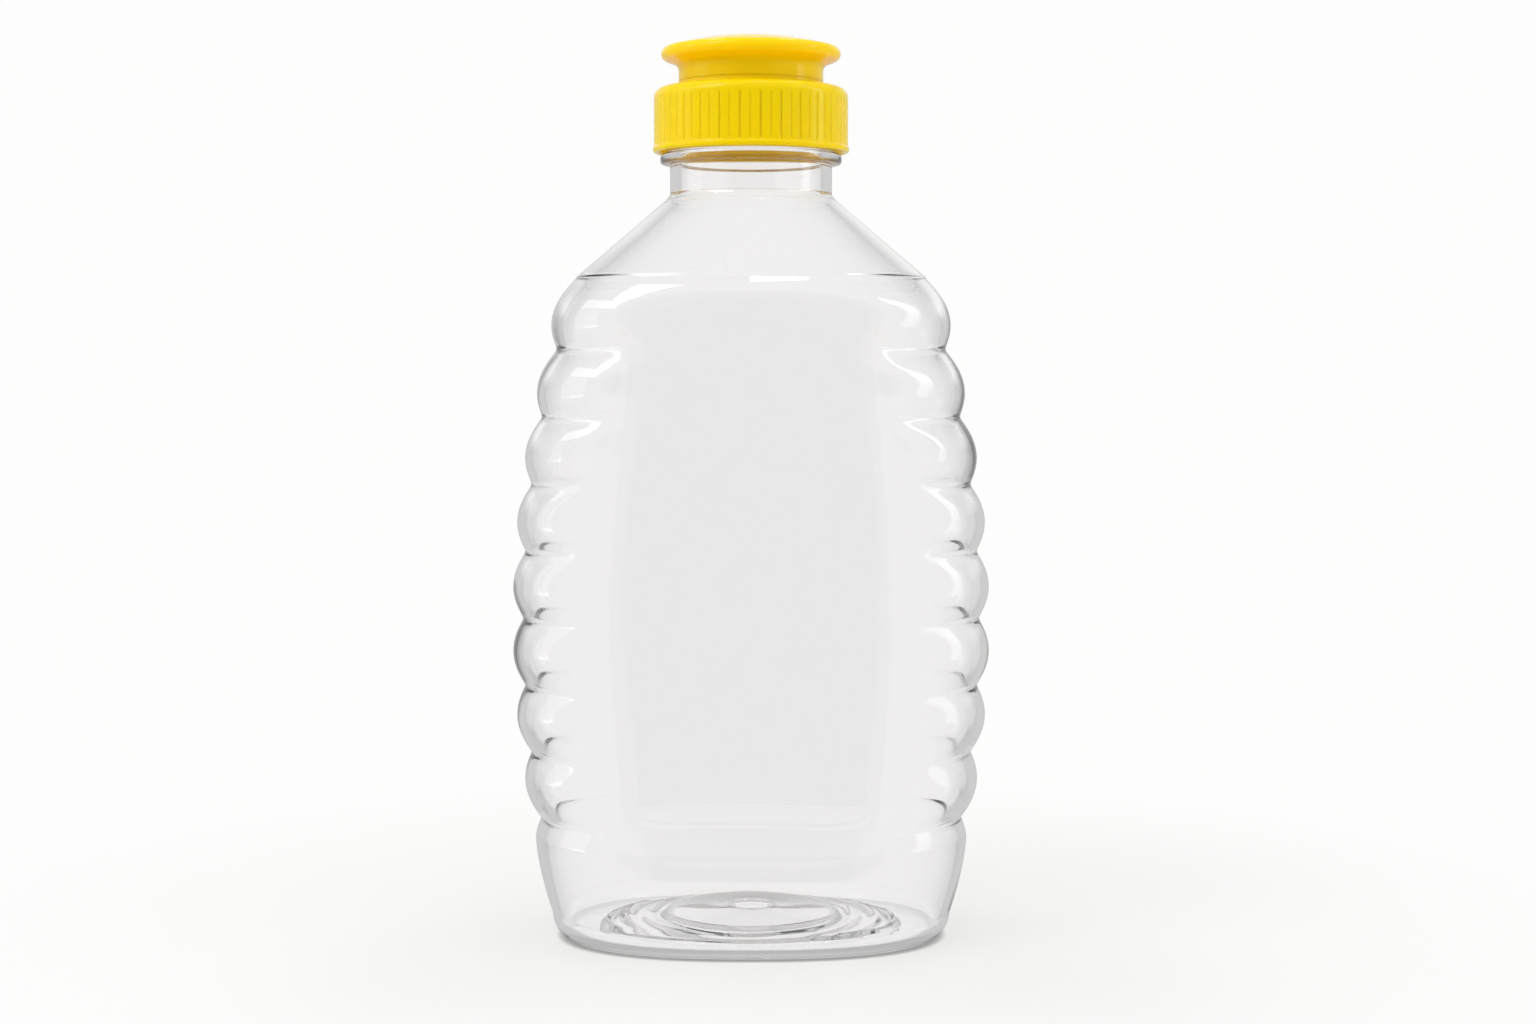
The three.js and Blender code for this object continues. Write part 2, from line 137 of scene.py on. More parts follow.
# Closure
REST_GAP = 0.3
SLIDE_GAP = 0.3
LINER_THICKNESS = 0.9
CAP_RADIUS = 20.0
CAP_BAND_RADIUS = 20.25
CAP_BAND_HEIGHT = 1.0
CAP_EDGE = 0.6
CAP_CHAMFER = 0.3
CAP_SHOULDER = 2.0
CAP_THREAD_TURNS = 1.4
CAP_THREAD_ROOT = 2.0
CAP_THREAD_CREST = 0.8
DECK_THICKNESS = 1.5
DECK_FALL = 0.2
SEAT_RISE = 1.0
SEAT_GAP = 0.03
SEAT_FILLET = 0.08
SEAT_ROOT_FILLET = 0.9
GRIPS = 60
GRIP_DEEP = 0.45
GRIP_SHALLOW = 0.25
GRIP_HALF_WIDTH = 0.2
GRIP_TOP_GAP = 0.4
GRIP_FADE = 0.5
PLUG_LENGTH = 2.6
PLUG_WALL = 1.1
PLUG_TAPER = 0.4
PLUG_LEAD = 0.8
CHIMNEY_WALL = 1.2
CHIMNEY_BEAD = 0.7
BEAD_RAMP = 0.2
POST_RADIUS = 3.6
POST_MIDDLE = 0.02
POST_CROWN = 0.05
WEBS = 3
WEB_THICKNESS = 1.4
WEB_HEIGHT = 4.1
WEB_SINK = 0.4
SPOUT_HEIGHT = 9.2
FLANGE_RADIUS = 18.5
FLANGE_EDGE = 1.4
FLANGE_TURN = (-75, 78)
DOME_RISE = 2.4
DOME_SPAN = (0.94, 0.28)
FLANGE_FALL = 0.9
STEM_RADIUS = 14.9
STEM_FILLET = 1.3
SLEEVE_WALL = 1.3
SLEEVE_BEAD = 0.9
SPOUT_PLATE = 1.5
CHIMNEY_TOP_GAP = 0.4
ORIFICE_RADIUS = 3.2
ORIFICE_WALL = 1.2
ORIFICE_COLLAR = 1.4
TIP_DROP = 0.2
SHARP_FILLET = 0.1
BEAD_FILLET = 0.15
SMALL_FILLET = 0.2
FILLET = 0.3
POST_ROOT_FILLET = 0.4
TIP_FILLET = 0.5

# Worked out from those above
FIRST_GROOVE = CREASE_HEIGHT - TOP_RIB_HEIGHT
LAST_GROOVE = FIRST_GROOVE - (RIBS - 1) * RIB_PITCH
NECK_HEIGHT = CREASE_HEIGHT + SHOULDER_RISE
SHOULDER_TOP = NECK_HEIGHT - FLARE_HEIGHT
FLOOR_GROW = WALL * 0.6
RING_HEIGHT = NECK_HEIGHT + NECK_LENGTH
RING_TOP = RING_HEIGHT + RING_THICKNESS
LIP_HEIGHT = RING_TOP + FINISH_LENGTH
THREAD_RADIUS = FINISH_RADIUS + THREAD_DEPTH
LINER_BOTTOM = LIP_HEIGHT + REST_GAP
LINER_TOP = LINER_BOTTOM + LINER_THICKNESS
CAP_BOTTOM = RING_TOP + REST_GAP
CAP_INSIDE = THREAD_RADIUS + SLIDE_GAP
DECK_UNDER = LINER_TOP + REST_GAP
DECK_HEIGHT = DECK_UNDER + DECK_THICKNESS
SEAT_HEIGHT = DECK_HEIGHT + SEAT_RISE
PLUG_RADIUS = BORE_RADIUS - SLIDE_GAP
SPOUT_BOTTOM = SEAT_HEIGHT + SEAT_GAP
SPOUT_TOP = SEAT_HEIGHT + REST_GAP + SPOUT_HEIGHT
RIM_CENTRE = SPOUT_TOP - DOME_RISE - FLANGE_EDGE
SLEEVE_INSIDE = STEM_RADIUS - SLEEVE_WALL
CHIMNEY_BEAD_RADIUS = SLEEVE_INSIDE - SLIDE_GAP
SLEEVE_BEAD_RADIUS = SLEEVE_INSIDE - 2 * SLIDE_GAP
CHIMNEY_RADIUS = SLEEVE_BEAD_RADIUS - SLIDE_GAP
CHIMNEY_INSIDE = CHIMNEY_RADIUS - CHIMNEY_WALL
COLLAR_BOTTOM = SPOUT_TOP - SPOUT_PLATE - ORIFICE_COLLAR
TIP_RADIUS = ORIFICE_RADIUS - SLIDE_GAP
TIP_TOP = SPOUT_TOP - TIP_DROP

# How finely the meshes are stepped
BODY_FACETS = 384
CAP_FACETS = GRIPS * 10
ROUND_FACETS = 192
OUTER_STEP = 0.45
GROOVE_STEP = 0.15
GROOVE_ROWS = 6
INNER_STEP = 0.6
FINISH_STEP = 0.3
BASE_STEP = 0.7
FLOOR_STEP = 0.5
TURNED_STEP = 0.4
FILLET_STEPS = 6
HEEL_STEPS = 14
RIM_STEPS = 14
DOME_STEPS = 12
SHOULDER_STEPS = 12
EDGE_STEPS = 6
PLATE_STEPS = 6
POST_FACETS = ROUND_FACETS // 2
CORNER_SHARE = 0.49  # most of a side that a fillet takes
ON_WALL = 0.01  # how near a wall a point counts as on it


def mix(a, b, share):
    """A share of the way from a to b."""
    return a + (b - a) * share


def ease(low, high, value):
    """Rises smoothly from 0 at low to 1 at high."""
    share = np.clip((value - low) / (high - low), 0, 1)
    return share * share * (3 - 2 * share)


def dome_at(radius):
    """Height of the spout's top at a radius."""
    return SPOUT_TOP - DOME_RISE * (radius / (FLANGE_RADIUS - FLANGE_EDGE)) ** 2


def rounded(corners):
    """A profile through (radius, height, fillet) corners, with those between its ends turned into curves."""
    points = []
    for index, (radius, height, fillet) in enumerate(corners):
        here = np.array((radius, height), float)
        if fillet <= 0 or index in (0, len(corners) - 1):
            points.append(here)
            continue
        before = np.array(corners[index - 1][:2], float) - here
        after = np.array(corners[index + 1][:2], float) - here
        reach_in = min(fillet, np.linalg.norm(before) * CORNER_SHARE)
        reach_out = min(fillet, np.linalg.norm(after) * CORNER_SHARE)
        start = here + before / np.linalg.norm(before) * reach_in
        end = here + after / np.linalg.norm(after) * reach_out
        for step in range(FILLET_STEPS + 1):
            share = step / FILLET_STEPS
            points.append(start * (1 - share) ** 2 + 2 * here * share * (1 - share) + end * share**2)
    return np.array(points)


def arc(radius, height, size, start, end, steps):
    """Corners on an arc about a centre, between two angles in degrees."""
    angles = np.radians(np.linspace(start, end, steps + 1))
    return [(radius + size * math.cos(a), height + size * math.sin(a), 0) for a in angles]


def densely(profile, step):
    """The same profile with more points wherever two are further apart than step."""
    points = [profile[0]]
    for point in profile[1:]:
        parts = max(1, math.ceil(np.linalg.norm(point - points[-1]) / step))
        start = points[-1]
        for part in range(1, parts + 1):
            points.append(mix(start, point, part / parts))
    return np.array(points)


def mesh_piece(name, points, faces, material):
    """A smooth-shaded object in the scene, from points in millimetres."""
    mesh = bpy.data.meshes.new(name)
    mesh.from_pydata((np.asarray(points) * MM).tolist(), [], faces)
    mesh.polygons.foreach_set("use_smooth", [True] * len(mesh.polygons))
    mesh.materials.append(material)
    mesh.update()
    piece = bpy.data.objects.new(name, mesh)
    bpy.context.scene.collection.objects.link(piece)
    return piece


def skin_faces(rows, around, loop=False):
    """Quads between rows of points, each row a ring; with loop the last row joins the first."""
    row = np.arange(rows if loop else rows - 1)[:, None]
    side = np.arange(around)[None, :]
    after = (side + 1) % around
    here, above = row * around, (row + 1) % rows * around
    quads = np.stack([here + side, here + after, above + after, above + side], -1)
    return quads.reshape(-1, 4).tolist()


def fan_faces(ring_start, around, pole, flip=False):
    """Triangles from a ring of points to the pole in its middle."""
    faces = []
    for side in range(around):
        a, b = ring_start + side, ring_start + (side + 1) % around
        faces.append((pole, b, a) if flip else (pole, a, b))
    return faces


def turned_points(profile, facets, shape=None):
    """Points of a profile turned about Z. shape(radius, height, angle) may change the radius."""
    angles = np.arange(facets) * 2 * math.pi / facets
    radius = np.repeat(profile[:, :1], facets, 1)
    height = np.repeat(profile[:, 1:2], facets, 1)
    angle = np.repeat(angles[None, :], len(profile), 0)
    if shape is not None:
        radius = shape(radius, height, angle)
    return np.stack([radius * np.cos(angle), radius * np.sin(angle), height], -1).reshape(-1, 3)


def thread_rise(height, angle, start, turns, root, crest):
    """How far a thread ridge stands out of its wall at a height and angle."""
    rise = np.zeros_like(height)
    for lap in range(math.ceil(turns)):
        along = angle / (2 * math.pi) + lap
        offset = np.abs(height - start - THREAD_PITCH * along)
        ridge = np.clip((root / 2 - offset) / ((root - crest) / 2), 0, 1)
        share = along / turns
        full = np.clip(np.minimum(share, 1 - share) / THREAD_RUN_OUT, 0, 1)
        rise = np.maximum(rise, THREAD_DEPTH * ease(0, 1, ridge) * full)
    return rise


# Bottle

def section_at(height):
    """Half-width, half-depth and squareness of the body at each height, without ribs or panels."""
    bow = ((height - BELLY_HEIGHT) / (CREASE_HEIGHT - BELLY_HEIGHT)) ** 2
    groove_x = mix(GROOVE_WIDTH, CREASE_WIDTH, bow) / 2
    groove_y = mix(GROOVE_DEPTH, CREASE_DEPTH, bow) / 2
    low = np.clip((BAND_HEIGHT - height) / (BAND_HEIGHT - HEEL_RADIUS), 0, 1) ** BAND_POWER
    band_x = mix(BAND_WIDTH, FOOT_WIDTH, low) / 2
    band_y = mix(BAND_DEPTH, FOOT_DEPTH, low) / 2
    turn_in = np.clip((height - BAND_HEIGHT) / (LAST_GROOVE - BAND_HEIGHT), 0, 1) ** 2
    half_x = mix(band_x, groove_x, turn_in)
    half_y = mix(band_y, groove_y, turn_in)
    up = np.clip((height - CREASE_HEIGHT) / (SHOULDER_TOP - CREASE_HEIGHT), 0, 1)
    over = height > CREASE_HEIGHT
    half_x = np.where(over, mix(CREASE_WIDTH / 2, NECK_RADIUS + FLARE, up), half_x)
    half_y = np.where(over, mix(CREASE_DEPTH / 2, NECK_RADIUS + FLARE, up), half_y)
    flare = NECK_RADIUS + FLARE * (1 - np.clip((height - SHOULDER_TOP) / FLARE_HEIGHT, 0, 1)) ** FLARE_POWER
    neck = height > SHOULDER_TOP
    power = mix(BODY_POWER, CREASE_POWER, np.where(height > BELLY_HEIGHT, bow, 0))
    power = np.where(over, mix(CREASE_POWER, 2, up), power)
    return np.where(neck, flare, half_x), np.where(neck, flare, half_y), power


def squared(angle, power):
    """Cosine and sine of an angle round an oval: power 2 gives an ellipse, and more gives a squarer one."""
    cosine = np.sign(np.cos(angle)) * np.abs(np.cos(angle)) ** (2 / power)
    sine = np.sign(np.sin(angle)) * np.abs(np.sin(angle)) ** (2 / power)
    return cosine, sine


def bulge(from_groove, span, rise):
    """An arch over span that meets its neighbours in a small round groove."""
    def eased(distance):
        return np.sqrt(distance**2 + GROOVE_ROUND**2) - GROOVE_ROUND

    share = eased(from_groove) / (2 * eased(np.array(span / 2)))
    return rise * 4 * share * (1 - share)


def rib_at(height):
    """How far the ribs stand out of the grooves, and where the rib goes all the way round."""
    below = (FIRST_GROOVE - height) % RIB_PITCH
    near = np.minimum(below, RIB_PITCH - below)
    side = bulge(near, RIB_PITCH, RIB_RISE)
    up = height - FIRST_GROOVE
    top = bulge(np.clip(np.minimum(up, TOP_RIB_HEIGHT - up), 0, None), TOP_RIB_HEIGHT, TOP_RIB_RISE)
    rise = np.where(height < FIRST_GROOVE, side, top)
    return np.where((height > LAST_GROOVE) & (height < CREASE_HEIGHT), rise, 0), height >= FIRST_GROOVE


def panel_at(across, height):
    """Half-depth of a label panel at a place, and a share: one on the panel, falling off round its edge."""
    bow = ((height - BELLY_HEIGHT) / (PANEL_TOP - BELLY_HEIGHT)) ** 2
    half = PANEL_WIDTH / 2 - PANEL_LEAN * bow
    top = PANEL_TOP - PANEL_ARCH * (across / (PANEL_WIDTH / 2 - PANEL_LEAN)) ** 2
    beside = np.clip(np.abs(across) - half, 0, None) / PANEL_FLANK
    above = np.clip(height - top, 0, None) / (CREASE_HEIGHT - top)
    below = np.clip(PANEL_BOTTOM - height, 0, None) / PANEL_FLANK
    share = np.clip(1 - np.sqrt(beside**2 + above**2 + below**2), 0, 1) ** 2
    fall = mix(PANEL_FALL, PANEL_TOP_FALL, bow) * (across / half) ** 2
    return mix(PANEL_DEPTH, PANEL_TOP_DEPTH, bow) / 2 - fall, share


def body_points(turn, height):
    """Outside of the body at each share of a turn and each height, as an array of points."""
    half_x, half_y, power = section_at(height)
    rise, goes_round = rib_at(height)
    cosine, sine = squared(2 * math.pi * turn, power)
    low = FIRST_GROOVE - RIB_START_SPAN * RIB_PITCH
    start = mix(RIB_START, TOP_RIB_START, ease(low, FIRST_GROOVE, height))
    out = rise * np.where(goes_round, 1, ease(start, start + RIB_FADE, np.abs(cosine)))
    x = cosine * (half_x + out)
    y = sine * (half_y + out)
    panel, share = panel_at(x, height)
    y = np.sign(y) * mix(np.abs(y), panel, share)
    return np.stack([x, y, height + 0 * x], -1)


def inner_points(turn, height):
    """The same surface moved in by the wall, which varies a little, as in a blown bottle."""
    turn_step, height_step = 0.5 / BODY_FACETS, OUTER_STEP
    round_way = body_points(turn + turn_step, height) - body_points(turn - turn_step, height)
    up_way = body_points(turn, height + height_step) - body_points(turn, height - height_step)
    out = np.cross(round_way, up_way)
    out /= np.linalg.norm(out, axis=-1, keepdims=True)
    angle = 2 * math.pi * turn
    wave = np.sin(2 * angle + height / 17) + np.sin(5 * angle - height / 9) * 0.6
    wave += np.sin(3 * angle + height / 5) * 0.3
    return body_points(turn, height) - out * (WALL + WALL_WAVE * wave)[..., None]


def oval_rows(profile):
    """Rings of the base from a (half-width, height) profile: round in the middle, oval towards the heel."""
    half_x, height = profile[:, 0:1], profile[:, 1:2]
    foot_x, foot_y = FOOT_WIDTH / 2, FOOT_DEPTH / 2
    known = [0, PLATEAU_RADIUS, LEDGE_WIDTH / 2, RIM_WIDTH / 2, foot_x - HEEL_RADIUS, foot_x]
    depths = [0, PLATEAU_RADIUS, LEDGE_DEPTH / 2, RIM_DEPTH / 2, foot_y - HEEL_RADIUS, foot_y]
    powers = [2, 2, 2, 2, BODY_POWER, BODY_POWER]
    half_y = np.interp(half_x, known, depths)
    power = np.interp(half_x, known, powers)
    cosine, sine = squared(2 * math.pi * np.arange(BODY_FACETS)[None, :] / BODY_FACETS, power)
    return np.stack([half_x * cosine, half_y * sine, height + 0 * cosine], -1)


def base_profile(lift, grow):
    """The push-up from the middle out to the rim; lift and grow give its inner face."""
    return [
        (GATE_MIDDLE, PLATEAU_HEIGHT - GATE_DROP + lift, 0),
        (GATE_RADIUS - GATE_DROP + grow, PLATEAU_HEIGHT - GATE_DROP + lift, GATE_FILLET),
        (GATE_RADIUS + grow, PLATEAU_HEIGHT + lift, GATE_FILLET),
        (PLATEAU_RADIUS - PLATEAU_EDGE + grow, PLATEAU_HEIGHT - PLATEAU_FALL + lift, PLATEAU_FILLET),
        (PLATEAU_RADIUS + grow, LEDGE_HEIGHT + lift, PLATEAU_FOOT_FILLET),
        (LEDGE_WIDTH / 2 + grow, LEDGE_HEIGHT + lift, LEDGE_FILLET),
        (RIM_WIDTH / 2 - STEP_WIDTH + grow, STEP_HEIGHT + lift, STEP_FILLET),
        (RIM_WIDTH / 2 + grow, lift, RIM_FILLET),
    ]


def heel(size):
    """The round corner under the band, outside or, with a smaller size, inside."""
    return arc(FOOT_WIDTH / 2 - HEEL_RADIUS, HEEL_RADIUS, size, -90, 0, HEEL_STEPS)


def rippled_floor(rows):
    """Rings of the base's inner face, with the slow ripples of blown plastic between plateau and rim."""
    x, y, height = rows[..., 0], rows[..., 1], rows[..., 2]
    radius, angle = np.hypot(x, y), np.arctan2(y, x)
    reach = np.hypot(2 * x / RIM_WIDTH, 2 * y / RIM_DEPTH)
    ring = ease(PLATEAU_RADIUS, PLATEAU_RADIUS + BASE_WAVE_FADE, radius) * (1 - ease(*BASE_WAVE_REACH, reach))
    wave = np.sin(radius * 1.5 + 1.2 * np.sin(2 * angle + 0.6)) + 0.5 * np.sin(5 * angle + radius * 0.7)
    return np.stack([x, y, height + BASE_WAVE * ring * wave], -1)


def neck_outside(radius, height, angle):
    """Radius of the neck's upper end with the thread on its outside."""
    rise = thread_rise(height, angle, RING_TOP + THREAD_START, THREAD_TURNS, THREAD_ROOT, THREAD_CREST)
    return radius + np.where((height > RING_TOP) & (radius > BORE_RADIUS + WALL), rise, 0)


def outer_rows():
    """Heights of the body's rings, closer together at the grooves."""
    grooves = [CREASE_HEIGHT] + [FIRST_GROOVE - rib * RIB_PITCH for rib in range(RIBS)]
    offsets = np.arange(-GROOVE_ROWS, GROOVE_ROWS + 1) * GROOVE_STEP
    near = [groove + offset for groove in grooves for offset in offsets]
    even = [z for z in np.arange(HEEL_RADIUS + OUTER_STEP, NECK_HEIGHT, OUTER_STEP)
            if min(abs(z - groove) for groove in grooves) > (GROOVE_ROWS + 1) * GROOVE_STEP]
    return np.array(sorted(near + even))[:, None]


def finish_corners():
    """The neck's upper end, from the neck outside, over the support ring and the lip, and down the bore."""
    return [
        (NECK_RADIUS, NECK_HEIGHT, 0),
        (NECK_RADIUS, RING_HEIGHT, RING_ROOT_FILLET),
        (RING_RADIUS, RING_HEIGHT, RING_FILLET),
        (RING_RADIUS, RING_TOP, RING_FILLET),
        (FINISH_RADIUS, RING_TOP, FINISH_FILLET),
        (FINISH_RADIUS, LIP_HEIGHT, LIP_FILLET),
        (BORE_RADIUS, LIP_HEIGHT, LIP_FILLET),
        (BORE_RADIUS, NECK_HEIGHT, 0),
    ]


def make_bottle(material):
    """One closed skin: up the outside from the base, over the lip, and down the inside to the floor."""
    turn = (np.arange(BODY_FACETS) / BODY_FACETS)[None, :]
    inner_heights = np.arange(SHOULDER_TOP, HEEL_RADIUS, -INNER_STEP)[:, None]
    finish = densely(rounded(finish_corners()), FINISH_STEP)
    base = base_profile(0, 0) + heel(HEEL_RADIUS)
    floor = heel(HEEL_RADIUS - WALL)[::-1] + base_profile(WALL, FLOOR_GROW)[::-1]
    rows = np.concatenate([
        oval_rows(densely(rounded(base), BASE_STEP)),
        body_points(turn, outer_rows()),
        turned_points(finish, BODY_FACETS, neck_outside).reshape(-1, BODY_FACETS, 3),
        inner_points(turn, inner_heights),
        rippled_floor(oval_rows(densely(rounded(floor), FLOOR_STEP))),
    ])
    count = len(rows)
    points = list(rows.reshape(-1, 3))
    points.append((0, 0, PLATEAU_HEIGHT - GATE_DROP))
    points.append((0, 0, PLATEAU_HEIGHT - GATE_DROP + WALL))
    faces = skin_faces(count, BODY_FACETS)
    faces += fan_faces(0, BODY_FACETS, len(points) - 2, flip=True)
    faces += fan_faces((count - 1) * BODY_FACETS, BODY_FACETS, len(points) - 1)
    piece = mesh_piece("bottle_shell", points, faces, material)
    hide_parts("bottle")
    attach(piece, "bottle")


# Closure

def grip_depth(height, angle):
    """Depth of the upright grooves in the skirt, deep and shallow by turns."""
    pitch = 2 * math.pi / GRIPS
    number = np.round(angle / pitch)
    side = np.abs(angle - number * pitch) * CAP_RADIUS
    deep = np.where(number % 2 == 0, GRIP_DEEP, GRIP_SHALLOW)
    low = CAP_BOTTOM + CAP_BAND_HEIGHT + CAP_BAND_RADIUS - CAP_RADIUS
    high = DECK_HEIGHT - DECK_FALL - CAP_SHOULDER - GRIP_TOP_GAP
    ends = ease(low, low + GRIP_FADE, height) * (1 - ease(high - GRIP_FADE, high, height))
    return deep * np.clip(1 - side / GRIP_HALF_WIDTH, 0, 1) * ends


def cap_shape(radius, height, angle):
    """Radius of the cap's walls with the grip grooves outside and the thread inside."""
    skirt = np.abs(radius - CAP_RADIUS) < ON_WALL
    radius = radius - np.where(skirt, grip_depth(height, angle), 0)
    start = RING_TOP + THREAD_START - THREAD_PITCH / 2
    rise = thread_rise(height, angle, start, CAP_THREAD_TURNS, CAP_THREAD_ROOT, CAP_THREAD_CREST)
    inside = (np.abs(radius - CAP_INSIDE) < ON_WALL) & (height < DECK_UNDER)
    return radius - np.where(inside, rise, 0)


def closed_round(name, corners, material, facets, shape=None):
    """A piece turned about Z from a closed ring of corners."""
    profile = densely(rounded(corners + corners[:1]), TURNED_STEP)[:-1]
    points = turned_points(profile, facets, shape)
    return mesh_piece(name, points, skin_faces(len(profile), facets, loop=True), material)


def cap_corners():
    """The cap's outline: skirt, shoulder, deck, seat, chimney and its bore, plug, and under the deck."""
    chimney_top = dome_at(SLEEVE_INSIDE) - SPOUT_PLATE - CHIMNEY_TOP_GAP
    bead_bottom = chimney_top - CHIMNEY_BEAD
    band_top = CAP_BOTTOM + CAP_BAND_HEIGHT
    shoulder = DECK_HEIGHT - DECK_FALL - CAP_SHOULDER
    plug_bottom = DECK_UNDER - PLUG_LENGTH
    plug_inside = PLUG_RADIUS - PLUG_WALL
    return [
        (CAP_INSIDE, CAP_BOTTOM + CAP_CHAMFER, 0),
        (CAP_INSIDE + CAP_CHAMFER, CAP_BOTTOM, SMALL_FILLET),
        *arc(CAP_BAND_RADIUS - CAP_EDGE, CAP_BOTTOM + CAP_EDGE, CAP_EDGE, -90, 0, EDGE_STEPS),
        (CAP_BAND_RADIUS, band_top, FILLET),
        (CAP_RADIUS, band_top + CAP_BAND_RADIUS - CAP_RADIUS, FILLET),
        *arc(CAP_RADIUS - CAP_SHOULDER, shoulder, CAP_SHOULDER, 0, 90, SHOULDER_STEPS),
        (STEM_RADIUS, DECK_HEIGHT, SEAT_ROOT_FILLET),
        (STEM_RADIUS, SEAT_HEIGHT, SEAT_FILLET),
        (CHIMNEY_RADIUS, SEAT_HEIGHT, SMALL_FILLET),
        (CHIMNEY_RADIUS, bead_bottom, SHARP_FILLET),
        (CHIMNEY_BEAD_RADIUS, bead_bottom + BEAD_RAMP, BEAD_FILLET),
        (CHIMNEY_BEAD_RADIUS, chimney_top - BEAD_RAMP, SMALL_FILLET),
        (CHIMNEY_RADIUS, chimney_top, SMALL_FILLET),
        (CHIMNEY_INSIDE, chimney_top, FILLET),
        (CHIMNEY_INSIDE, DECK_UNDER, FILLET),
        (plug_inside, DECK_UNDER, FILLET),
        (plug_inside, plug_bottom, FILLET),
        (PLUG_RADIUS - PLUG_TAPER, plug_bottom, FILLET),
        (PLUG_RADIUS, plug_bottom + PLUG_LEAD, FILLET),
        (PLUG_RADIUS, DECK_UNDER, SMALL_FILLET),
        (CAP_INSIDE, DECK_UNDER, SMALL_FILLET),
    ]


def make_post(material):
    """The closed post and its three webs, inside the chimney."""
    corners = [
        (POST_MIDDLE, DECK_UNDER, 0),
        (POST_RADIUS, DECK_UNDER, POST_ROOT_FILLET),
        (POST_RADIUS, COLLAR_BOTTOM - POST_RADIUS + TIP_RADIUS, FILLET),
        (TIP_RADIUS, COLLAR_BOTTOM, FILLET),
        (TIP_RADIUS, TIP_TOP, TIP_FILLET),
        (POST_MIDDLE, TIP_TOP + POST_CROWN, 0),
    ]
    profile = densely(rounded(corners), TURNED_STEP)
    points = list(turned_points(profile, POST_FACETS))
    faces = skin_faces(len(profile), POST_FACETS)
    faces.append(list(range(POST_FACETS))[::-1])
    faces.append([(len(profile) - 1) * POST_FACETS + side for side in range(POST_FACETS)])
    near, far, half = POST_RADIUS / 2, CHIMNEY_INSIDE + WEB_SINK, WEB_THICKNESS / 2
    for web in range(WEBS):
        angle = 2 * math.pi * web / WEBS
        cosine, sine = math.cos(angle), math.sin(angle)
        first = len(points)
        for height in (DECK_UNDER, DECK_UNDER + WEB_HEIGHT):
            for along, across in ((near, -half), (far, -half), (far, half), (near, half)):
                points.append((along * cosine - across * sine, along * sine + across * cosine, height))
        for face in ((0, 3, 2, 1), (4, 5, 6, 7), (0, 1, 5, 4), (1, 2, 6, 5), (2, 3, 7, 6), (3, 0, 4, 7)):
            faces.append([first + corner for corner in face])
    return mesh_piece("cap_post", points, faces, material)


def make_cap(material):
    """The screw cap, with the post as a piece of its own inside the chimney."""
    shell = closed_round("cap_shell", cap_corners(), material, CAP_FACETS, cap_shape)
    post = make_post(material)
    for piece in (shell, post):
        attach(piece, "screw_cap")
    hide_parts("screw_cap")


def spout_corners():
    """The spout's outline: stem, flange, dome, pouring hole with its collar, and down inside the sleeve."""
    reach = FLANGE_RADIUS - FLANGE_EDGE
    flange_root = RIM_CENTRE - FLANGE_EDGE - FLANGE_FALL
    collar = ORIFICE_RADIUS + ORIFICE_WALL
    bead_top = SPOUT_BOTTOM + SLEEVE_BEAD
    dome = [(reach * share, dome_at(reach * share), 0) for share in np.linspace(*DOME_SPAN, DOME_STEPS)]
    plate = np.linspace(collar, SLEEVE_INSIDE, PLATE_STEPS)
    return [
        (SLEEVE_BEAD_RADIUS + BEAD_RAMP, SPOUT_BOTTOM, 0),
        (STEM_RADIUS, SPOUT_BOTTOM, SEAT_FILLET),
        (STEM_RADIUS, flange_root, STEM_FILLET),
        *arc(reach, RIM_CENTRE, FLANGE_EDGE, *FLANGE_TURN, RIM_STEPS),
        *dome,
        (ORIFICE_RADIUS, dome_at(ORIFICE_RADIUS), FILLET),
        (ORIFICE_RADIUS, COLLAR_BOTTOM, SMALL_FILLET),
        (collar, COLLAR_BOTTOM, SMALL_FILLET),
        *[(radius, dome_at(radius) - SPOUT_PLATE, 0) for radius in plate],
        (SLEEVE_INSIDE, bead_top + BEAD_RAMP, SMALL_FILLET),
        (SLEEVE_BEAD_RADIUS, bead_top, SMALL_FILLET),
        (SLEEVE_BEAD_RADIUS, SPOUT_BOTTOM + BEAD_RAMP, SHARP_FILLET),
    ]


def make_spout(material):
    """The mushroom-shaped top that slides on the chimney."""
    piece = closed_round("spout_shell", spout_corners(), material, ROUND_FACETS)
    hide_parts("pull_spout")
    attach(piece, "pull_spout")


def make_liner(material):
    """The foam ring between the lip and the deck."""
    inside, outside = PLUG_RADIUS + 2 * SLIDE_GAP, CAP_INSIDE - SLIDE_GAP
    corners = [
        (inside, LINER_BOTTOM, 0),
        (outside, LINER_BOTTOM, SMALL_FILLET),
        (outside, LINER_TOP, SMALL_FILLET),
        (inside, LINER_TOP, SMALL_FILLET),
    ]
    piece = closed_round("foam_liner", corners, material, ROUND_FACETS)
    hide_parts("sealing_ring")
    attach(piece, "sealing_ring")


# Materials

CLEAR_IOR = 1.57
CLEAR_TINT = (0.982, 0.975, 0.977, 1)
# Painted shade: the clear wall's colour turns grey where it is seen edge on, drawing dark outlines
CLEAR_PAINTED_EDGE_SHADE = (0.55, 0.55, 0.55, 1)
CLEAR_EDGE_SHADE_TURN = (0.8, 0.98)
CLEAR_ROUGHNESS = (0.0, 0.012)
CLEAR_SHADOW = (0.93, 0.93, 0.93, 1)
YELLOW_IOR = 1.5
YELLOW_SPECULAR = 0.18
YELLOW_DEEP = (0.96, 0.61, 0.0005, 1)
YELLOW_PALE = (0.98, 0.63, 0.001, 1)
YELLOW_ROUGHNESS = (0.06, 0.1)
YELLOW_SCATTER = 0.45
YELLOW_SCATTER_RADIUS = (1.0, 0.45, 0.04)
YELLOW_SCATTER_SCALE = 0.005
FOAM_IOR = 1.45
FOAM_COLOUR = (0.85, 0.83, 0.77, 1)
